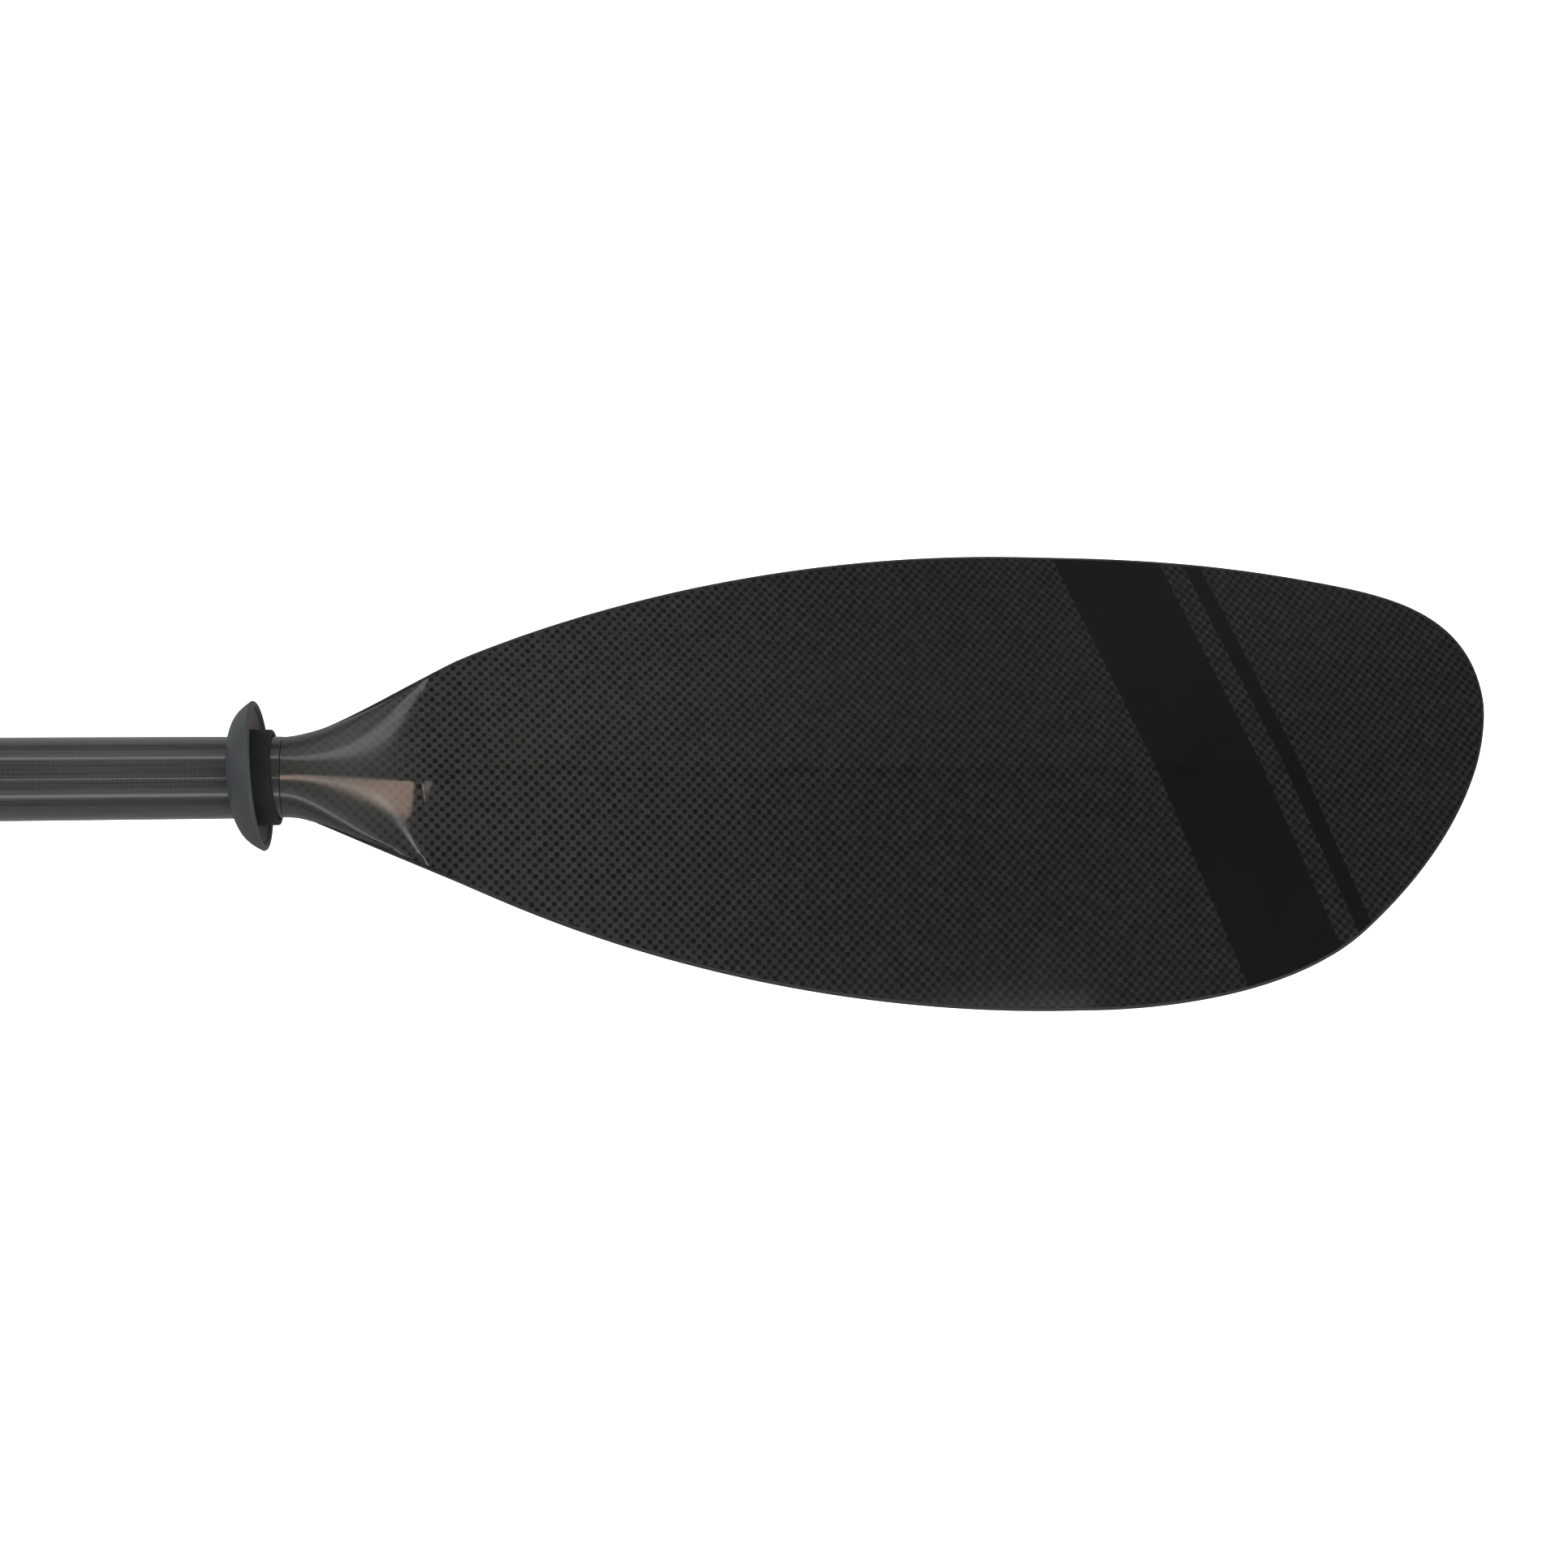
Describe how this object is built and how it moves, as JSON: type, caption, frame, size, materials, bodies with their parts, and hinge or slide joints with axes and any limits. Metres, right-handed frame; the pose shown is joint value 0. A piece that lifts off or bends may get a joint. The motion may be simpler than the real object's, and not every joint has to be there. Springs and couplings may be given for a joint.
{
  "type": "kayak paddle",
  "caption": "Take-apart double-bladed kayak paddle: carbon asymmetric blades, tube shaft with drip rings, and a telescoping, feathering ferrule held by a lever clamp.",
  "frame": {"origin": "on the shaft's axis at the middle of the paddle's length, 3 mm beyond the left tube's mouth, at rest (closed up, no feather); the box's centre to within 2 mm", "axes": "+X along the shaft towards the right blade, +Y towards the blades' longer edges, +Z out of the power faces"},
  "size_m": [2.2, 0.184, 0.0535],
  "materials": {
    "carbon_laminate": "plain-weave carbon under clear resin",
    "carbon_tube": "satin, lengthwise streaks",
    "edge_resin": "smooth black",
    "foam": "closed-cell foam",
    "glass_laminate": "wound glass fibre",
    "grey_plastic": "soft moulded",
    "black_rubber": "matt",
    "black_plastic": "fine moulded grain",
    "nylon": "natural",
    "steel": "stainless"
  },
  "bodies": {
    "left_half": {"left_shaft_tube": "carbon_tube", "left_shaft_plug": "foam", "left_blade_power_skin": "carbon_laminate", "left_blade_back_skin": "carbon_laminate", "left_blade_foam_core": "foam", "left_blade_edge_rim": "edge_resin", "left_neck_spigot": "glass_laminate", "ferrule_liner": "nylon", "wiper_seal": "black_rubber", "clamp_body": "black_plastic", "clamp_screw": "steel", "lever_pin": "steel", "cam_saddle": "steel"},
    "guide_bush": {"guide_bush": "nylon"},
    "right_half": {"right_shaft_tube": "carbon_tube", "right_shaft_plug": "foam", "right_blade_power_skin": "carbon_laminate", "right_blade_back_skin": "carbon_laminate", "right_blade_foam_core": "foam", "right_blade_edge_rim": "edge_resin", "right_neck_spigot": "glass_laminate", "ferrule_tube": "glass_laminate"},
    "clamp_lever": {"clamp_lever": "black_plastic"},
    "adjuster_nut": {"adjuster_nut": "black_plastic"},
    "left_ring_collar": {"left_ring_collar": "black_rubber"},
    "left_ring_cup": {"left_ring_cup": "grey_plastic"},
    "right_ring_collar": {"right_ring_collar": "black_rubber"},
    "right_ring_cup": {"right_ring_cup": "grey_plastic"}
  },
  "joints": [
    {"name": "length_slide", "type": "slide", "parent": "left_half", "child": "guide_bush", "axis": [1, 0, 0], "range_m": [0, 0.1]},
    {"name": "feather_turn", "type": "hinge", "parent": "guide_bush", "child": "right_half", "pos_m": [-0.17, 0, 0], "axis": [1, 0, 0], "range_deg": [-90, 90]},
    {"name": "lever_open", "type": "hinge", "parent": "left_half", "child": "clamp_lever", "pos_m": [-0.017, 0.024, 0.0136], "axis": [-1, 0, 0], "range_deg": [0, 115]},
    {"name": "nut_turn", "type": "hinge", "parent": "left_half", "child": "adjuster_nut", "pos_m": [-0.017, 0.024, -0.0113], "axis": [0, 0, 1], "continuous": true},
    {"name": "left_ring_slide", "type": "slide", "parent": "left_half", "child": "left_ring_collar", "axis": [1, 0, 0], "range_m": [0, 0.2]},
    {"name": "left_ring_turn", "type": "hinge", "parent": "left_ring_collar", "child": "left_ring_cup", "pos_m": [-0.6105, 0, 0], "axis": [-0.9968, 0.0575, 0.0557], "continuous": true},
    {"name": "right_ring_slide", "type": "slide", "parent": "right_half", "child": "right_ring_collar", "axis": [1, 0, 0], "range_m": [-0.2, 0]},
    {"name": "right_ring_turn", "type": "hinge", "parent": "right_ring_collar", "child": "right_ring_cup", "pos_m": [0.6105, 0, 0], "axis": [0.9968, 0.0575, 0.0557], "continuous": true}
  ]
}
